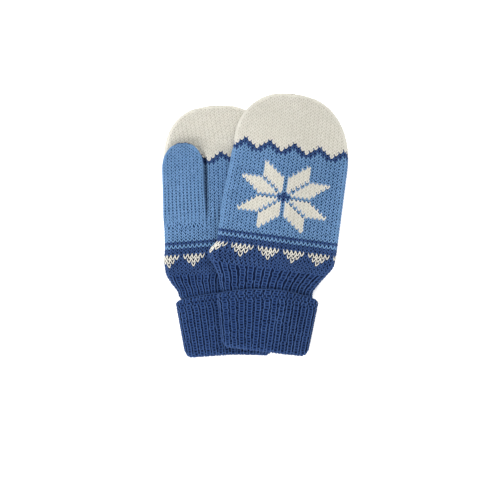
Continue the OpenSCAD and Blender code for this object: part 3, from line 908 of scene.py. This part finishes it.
# %% Knit the hands and fingertips
# The rim strands carry a lowered tone: painted shade along the outline.
RIM = [bar(0.56, place, 0.40, 0.42, -0.15, 0.15, -0.9) for place in (-0.25, 0.1)]
RIM_ROW = [-1.0, 1.0]
REACH_SHORT, RIM_SHORT = 0.3, 0.05
PICKED_ROWS = 3
pick_row = int((v_seam - v_palm) / HAND_ROW)


def tip_reach(side, turn):
    heights = np.linspace(v_round, v_end - REACH_SHORT, 800)
    return reach(oval(turn)[0], *widening(side, heights), heights)


def tip_rim_skin(side, turn, step):
    """The surface along the outline of the fingertip. step 0 is the line where the columns stop."""
    v = np.minimum(tip_reach(side, turn) + step, v_end - RIM_SHORT)
    return hand_skin(side, hand_turn(side, turn * COLUMNS, v), v)


def under_thumb(side, column, row, v):
    """The palm's stitches whose place is taken by the thumb's first rows."""
    here = hand_skin(side, column / COLUMNS, v)
    s = here[..., 1] - along(side, v_seam)
    beside = np.abs(here[..., 0] - thumb_middle(side, s)) - thumb_half_w(s)
    face = (column < FACE) == (side == LEFT)
    return face & (beside < 0) & (row >= pick_row) & (row < pick_row + PICKED_ROWS)


def knit_upper(side):
    column, row, low, high = grid(face_columns, rows_to_end)
    top = tip_reach(side, column / COLUMNS)
    kept = (top - low > LEAST_ROW) & ~under_thumb(side, column, row, (low + high) / 2)
    column, row, low, high = column[kept], row[kept], low[kept], np.minimum(high, top)[kept]
    made = [work(hand_skin, side, column, low, high, KNIT, hand_turn)]
    label = [upper_yarn(side, column, row)]
    for heights in (rows_to_round, tip_rows):
        column, _, low, high = grid(side_columns, heights)
        made.append(work(hand_skin, side, column, low, high, EDGE_KNIT, ring_turn))
        label.append(upper_yarn(side, column, np.floor(((low + high) / 2 - v_palm) / HAND_ROW)))
    column, _, low, high = grid(face_columns, RIM_ROW)
    made.append(work(tip_rim_skin, side, column, low, high, RIM, ring_turn))
    label.append((np.full(len(column), CREAM), np.full(len(column), FINGERTIP)))
    made = join(made)
    colour, node = join([[np.tile(part, len(KNIT)) for part in pair] for pair in label])
    for k, name in enumerate(UPPER_NODES):
        pick = node == k
        add_piece(side, name, [part[pick] for part in made], UPPER_YARNS[k], colour=colour[pick])


for side in (LEFT, RIGHT):
    knit_upper(side)

# %% [markdown]
# Below the hand come the two dark stripes with the light line, the row of triangles and the plain dark wrist.
# They are knitted in rounds. The cream stitches are a little finer, so that the triangles stay crisp.

# %% Knit the stripes, triangles and wrist
FINE = 0.84
PLAIN_ROWS, TRI_ROWS = 3, 3
plain_edges = np.linspace(v_rib, v_tri - tri_h, PLAIN_ROWS + 1)
wrist_edges = np.concatenate([plain_edges, v_tri - tri_h / TRI_ROWS * np.arange(TRI_ROWS)[::-1]])


def knit_round(side, column, low, high, scale=1.0):
    """Plain stitches round the mitten, flatter at its edges to keep the outline smooth."""
    edge = np.isin(column, side_columns)
    return join([work(hand_skin, side, column[pick], low[pick], high[pick], paths, ring_turn, scale=scale)
                 for pick, paths in ((~edge, KNIT), (edge, EDGE_KNIT))])


def knit_band(side, node, edges, yarn):
    column, _, low, high = grid(all_columns, edges)
    add_piece(side, node, knit_round(side, column, low, high), yarn)


def knit_wrist(side):
    column, row, low, high = grid(all_columns, wrist_edges)
    cream = (row >= PLAIN_ROWS) & in_triangle(side, column, row - PLAIN_ROWS)
    for node, pick, yarn, scale in (("wrist", ~cream, DARK, 1.0), ("triangles", cream, CREAM, FINE)):
        add_piece(side, node, knit_round(side, column[pick], low[pick], high[pick], scale), yarn)


for side in (LEFT, RIGHT):
    knit_band(side, "upper_stripe", [v_stripe, v_palm], DARK)
    knit_band(side, "line_stripe", [v_line, v_stripe], LIGHT)
    knit_band(side, "lower_stripe", [v_tri, (v_tri + v_line) / 2, v_line], DARK)
    knit_wrist(side)

# %% [markdown]
# Wrist and cuff are ribbed, one knit column and one purl column in turn.
# The cuff is turned up, so its stitches stand on their heads, and the ribs run on round the fold.
# The cast-off edge is a chain of loops along the cuff's top.

# %% Knit the ribbing and the cuffs
RIB_COLUMNS = [60, 54]
RIB_START, RIB_TWIST, SWAY, RIB_UNEVEN = 0.57, [0.06, 0.055], 0.2, 0.06
CUFF_ROWS, LOOSE_ROWS, FOLD_ROWS, WRIST_ROWS = 20, 3, 4, 29
CHAIN = [bar(0.7, place, 0.42, 0.5, -0.1, 0.5) for place in (0.68, 1.05)]
CHAIN_ROW, LAST_ROW, EDGE_ROLL = [0.0, 1.0], [-0.1, 0.6], 0.6


def rib_turn(side, column, v):
    return (column + RIB_START) / RIB_COLUMNS[side]


def wrist_turn(side, column, v):
    """Ribs evenly spaced between the wrist's edges, and pulled a little askew."""
    turn = rib_turn(side, column + RIB_TWIST[side] * (v - cuff_depth), v)
    turn = turn - np.floor(turn)
    half, edge = half_w(v), thumb_edge(side, v)
    x = (half + edge / 2) * oval(turn)[0] - edge / 2
    left = np.maximum(-x, 0)
    share = np.where(x < 0, -2 * left / (half + np.sqrt(half ** 2 + 4 * edge * left)), x / half)
    return turn_of(share, turn > 0.5)


def rib(skin, side, edges, turned, purl=RIB_PURL, loose=0, turn_at=rib_turn):
    """Ribbing between the given heights. The last rows may be loose: they sway from side to side."""
    made = []
    for first, paths in ((0, RIB_KNIT), (1, purl)):
        column, row, low, high = grid(np.arange(first, RIB_COLUMNS[side], 2), edges)
        sway = np.where(row >= len(edges) - 1 - loose, SWAY * (-1.0) ** row, 0.0)
        paths = [flipped(p) for p in paths] if turned else paths
        made.append(work(skin, side, column + sway, low, high, paths, turn_at, uneven=RIB_UNEVEN))
    return join(made)


def edge_skin(side, turn, share):
    """The cuff's upper edge rolls over inwards: share 0 is on its outside, share 1 on top."""
    a = np.pi / 2 * share
    y = cuff_top(side, turn) + edge_h * np.sin(a)
    return cuff_skin(side, turn, y, EDGE_ROLL * cuff_wall * (1 - np.cos(a)))


def knit_cuff(side):
    wrist_rows = np.linspace(fold_h + cuff_gap, v_rib, WRIST_ROWS + 1)
    add_piece(side, "ribbing", rib(hand_skin, side, wrist_rows, False, turn_at=wrist_turn), DARK)
    turnup = rib(turnup_skin, side, np.linspace(0, 1, CUFF_ROWS + 1), True, loose=LOOSE_ROWS)
    add_piece(side, "cuff_turnup", turnup, DARK, "turned_cuff")
    fold = rib(fold_skin, side, np.linspace(0, 1, FOLD_ROWS + 1), True, purl=FOLD_PURL)
    add_piece(side, "cuff_fold", fold, DARK, "turned_cuff")
    column, _, low, high = grid(np.arange(RIB_COLUMNS[side]), CHAIN_ROW)
    chain = work(edge_skin, side, column, low, high, CHAIN, rib_turn)
    edge = join([chain, rib(edge_skin, side, LAST_ROW, True)])
    add_piece(side, "cuff_edge", edge, DARK, "turned_cuff")


for side in (LEFT, RIGHT):
    knit_cuff(side)

# %% [markdown]
# The thumb is knitted in the round, twenty-four stitches, from stitches picked up out of the palm.
# Its rows are evenly spaced along the slope on which it rises, so that no stitch is stretched there.

# %% Columns and rows of the thumb
THUMB_COLUMNS, THUMB_ROWS = 24, 28
THUMB_FACE = THUMB_COLUMNS // 2
THUMB_ROW = thumb_len / THUMB_ROWS
THUMB_SHORT = 0.8
SEAM_START = pick_row * HAND_ROW - (v_seam - v_palm)


def thumb_widening(s):
    full = thumb_w / 2 * thumb_taper
    return np.where(thumb_end(s) > 0, full / np.maximum(thumb_half_w(s), LEAST_HALF_W), 1.0)


def thumb_turn(side, column, s):
    widen = thumb_widening(s)
    return straight_turn(column, THUMB_COLUMNS, widen, widen)


def thumb_ring(side, column, s):
    return column / THUMB_COLUMNS


end_heights = np.linspace(thumb_len - thumb_round, thumb_len - THUMB_SHORT, 1000)
end_rows = even_rows(end_heights, np.diff(thumb_half_w(end_heights)), HAND_ROW)
slope = np.linspace(SEAM_START, thumb_len, 2000)
thumb_edges = np.append(even_rows(slope, thumb_t * np.diff(thumb_rise(slope)), THUMB_ROW), thumb_len)
reach_heights = np.linspace(thumb_len - thumb_round, thumb_len - REACH_SHORT, 400)


def thumb_reach(turn):
    widen = thumb_widening(reach_heights)
    return reach(oval(turn)[0], widen, widen, reach_heights)


def rim_skin(side, turn, step):
    """The thumb's surface along its rounded outline. step is as for the fingertip."""
    s = np.minimum(thumb_reach(turn) + step, thumb_len - RIM_SHORT)
    return thumb_skin(side, thumb_turn(side, turn * THUMB_COLUMNS, s), s)


print(len(thumb_edges) - 1, "rows in a thumb,", len(end_rows) - 1, "round its end")

# %% [markdown]
# The thumb's fabric crosses the line where it folds, so it is left where it lies instead of turning as a
# block.
# The picked-up stitches are a piece of their own, which stays with the hand.

# %% Knit the thumbs
THUMB_SIDES = np.add.outer([0, THUMB_FACE], [-1 / 3, 0, 1 / 3]).ravel()
THUMB_SIDE_ROWS = 18
UNDER_START, BEND_LEN, PICKED_UNEVEN = 3.0, 9.0, 0.08
UNDERNEATH = 0.75


def thumb_bend(side):
    """The two bodies of the thumb's fabric, and the points where its bend starts and ends."""
    start, end = lay(side, thumb_skin(side, np.full(2, UNDERNEATH), np.array([0.0, BEND_LEN])))
    return f"{SIDE[side]}_mitten", f"{SIDE[side]}_folded_thumb", tuple(start), tuple(end)


def knit_thumb(side):
    down = side == RIGHT
    columns = np.arange(THUMB_COLUMNS)
    faces = columns[from_edge(columns, THUMB_COLUMNS) > 0]
    column, _, low, high = grid(faces, thumb_edges[1:])
    top = thumb_reach(column / THUMB_COLUMNS)
    kept = (top - low > LEAST_ROW) & ((column <= THUMB_FACE) | (low > UNDER_START))
    column, low, high = column[kept], low[kept], np.minimum(high, top)[kept]
    made = [work(thumb_skin, side, column, low, high, KNIT, thumb_turn, down)]
    column, _, low, high = grid(faces, RIM_ROW)
    made.append(work(rim_skin, side, column, low, high, RIM, thumb_ring, down))
    straight = np.linspace(thumb_edges[1], thumb_len - thumb_round, THUMB_SIDE_ROWS + 1)
    for heights in (straight, end_rows):
        column, _, low, high = grid(THUMB_SIDES, heights)
        made.append(work(thumb_skin, side, column, low, high, NARROW_KNIT, thumb_ring, down))
    add_piece(side, "thumb", join(made), LIGHT, bend=thumb_bend(side))
    column, _, low, high = grid(columns[:THUMB_FACE + 1], thumb_edges[:2])
    picked = work(thumb_skin, side, column, low, high, KNIT, thumb_ring, down, uneven=PICKED_UNEVEN)
    add_piece(side, "thumb_seam", picked, LIGHT)


for side in (LEFT, RIGHT):
    knit_thumb(side)

# %% [markdown]
# Behind the stitches lies the back of the fabric. It closes the small gaps between them and gives them depth.
# It is a plain skin, a little deeper than the strands: rings of points, joined by faces.

# %% Mesh of the fabric's back
EDGE_BACK, FLAT_FROM = 0.4, 0.6


def lining_object(name, side, layers, colour):
    """layers are grids of points, rows by turns, that follow one another along the fabric."""
    points = np.concatenate(layers, 0)
    rows, count = points.shape[:2]
    i, k = np.meshgrid(np.arange(rows - 1), np.arange(count), indexing="ij")
    i, k = i.ravel(), k.ravel()
    nxt = (k + 1) % count
    faces = np.stack([i * count + k, i * count + nxt, (i + 1) * count + nxt, (i + 1) * count + k], -1)
    mesh = bpy.data.meshes.new(name)
    mesh.from_pydata(lay(side, points).reshape(-1, 3).tolist(), [], faces.tolist())
    colour_faces(mesh, np.broadcast_to(colour, (rows - 1, count)).ravel(), LININGS)
    u = np.stack([k, k + 1, k + 1, k], -1) / count
    v = np.stack([i, i, i + 1, i + 1], -1) / (rows - 1)
    layer = mesh.uv_layers.new(name="OFBake")
    layer.data.foreach_set("uv", np.stack([u, v], -1).astype(np.float32).ravel())
    return show(name, mesh)


def turns_round(columns):
    return np.arange(columns * 2) / (columns * 2)


def offset_layer(skin, side, turns, heights, inward, down=False):
    t, v = np.meshgrid(turns, heights, indexing="xy")
    here, out = skin_frame(skin, side, t, v, down)
    return here - out * np.broadcast_to(inward, t.shape)[..., None]


def behind(turns, depth):
    """Depths of the fabric's back: less at the edges, where one would see past the strands."""
    flat = np.clip(np.abs(oval(turns)[1]) / FLAT_FROM, 0, 1)
    return mix(EDGE_BACK, np.reshape(depth, (-1, 1)), flat[None])


# %% [markdown]
# A mitten, a cuff and a thumb each have one such skin, painted in darker colours: painted shade, because
# little light gets there.
# The mitten's runs up to the fingertip and back down inside, so that one can look in through the cuff.

# %% Backs of the mittens, cuffs and thumbs
BACK, CUFF_BACK, FOLD_BACK, RIM_BACK = 1.15, 1.5, 0.8, 0.9
WALL_SHARE, TIP_SHARE, THUMB_SHARE, THUMB_SPACE = 0.8, 0.5, 0.4, 0.3
WRIST_RINGS, CUFF_RINGS, FOLD_RINGS, THUMB_RINGS = 34, 20, 10, 30
RING_STEP, ENDS_FROM, RIM_PLACE, FOLD_FROM = 2.0, 3, 0.45, 0.12
TIP_ENDS, THUMB_ENDS = np.array([2.2, 1.4, 0.8, 0.4, 0.15]), np.array([1.8, 1.0, 0.5, 0.15])


def line_mitten(side):
    turns = turns_round(COLUMNS)
    lower = np.linspace(fold_h + cuff_gap, v_tri, WRIST_RINGS)
    upper = np.arange(v_tri, v_end - ENDS_FROM, RING_STEP)
    heights = np.concatenate([lower[:-1], upper, v_end - TIP_ENDS])
    depth = np.minimum(np.minimum(BACK, WALL_SHARE * fabric(heights)), TIP_SHARE * half_t(heights))
    outer = offset_layer(hand_skin, side, turns, heights, behind(turns, depth))
    end = outer[-1]
    closed = (end + np.roll(end[::-1], 1, 0))[None] / 2
    wall = np.minimum(fabric(heights), WALL_SHARE * half_t(heights))
    inner = offset_layer(hand_skin, side, turns, heights[::-1], wall[::-1, None])
    column = ((np.arange(len(turns)) + 1) // 2)[None, :] % COLUMNS
    middle = (heights[:-1] + heights[1:])[:, None] / 2
    row = np.floor((middle - v_palm) / HAND_ROW)
    yarn = np.where(middle < v_palm, DARK, upper_yarn(side, column, row)[0])
    last = yarn[-1:]
    colour = np.concatenate([yarn, last, last, yarn[::-1]], 0)
    piece = lining_object(f"{SIDE[side]}_mitten_back", side, [outer, closed, inner], colour)
    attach(piece, f"{SIDE[side]}_mitten")


def line_cuff(side):
    turns = turns_round(COLUMNS)
    outer = offset_layer(turnup_skin, side, turns, np.linspace(0, 1, CUFF_RINGS), behind(turns, CUFF_BACK))
    rim = offset_layer(edge_skin, side, turns, np.array([RIM_PLACE]), RIM_BACK)
    inner = offset_layer(turnup_skin, side, turns, np.linspace(1, 0, CUFF_RINGS), cuff_wall)
    fold = offset_layer(fold_skin, side, turns, np.linspace(FOLD_FROM, 1, FOLD_RINGS), FOLD_BACK)
    layers = [inner[-1:], fold[:1], fold, outer, rim, inner]
    piece = lining_object(f"{SIDE[side]}_cuff_back", side, layers, DARK)
    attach(piece, f"{SIDE[side]}_turned_cuff")


def line_thumb(side):
    turns = turns_round(THUMB_COLUMNS)
    heights = np.concatenate([np.linspace(0, thumb_len - ENDS_FROM, THUMB_RINGS), thumb_len - THUMB_ENDS])
    tall = thumb_height(heights)
    depth = np.minimum(THUMB_SHARE * tall, BACK)
    foot = heights < thumb_len / 2
    upper = behind(turns, np.where(foot, BACK, depth))
    lower = behind(turns, np.where(foot, np.minimum(depth, tall - BACK - THUMB_SPACE), depth))
    inward = np.where(oval(turns)[1] >= 0, upper, lower)
    outer = offset_layer(thumb_skin, side, turns, heights, inward, side == RIGHT)
    piece = lining_object(f"{SIDE[side]}_thumb_back", side, [outer], LIGHT)
    thumb_bend(side)
    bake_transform(piece)


for side in (LEFT, RIGHT):
    line_mitten(side)
    line_cuff(side)
    line_thumb(side)
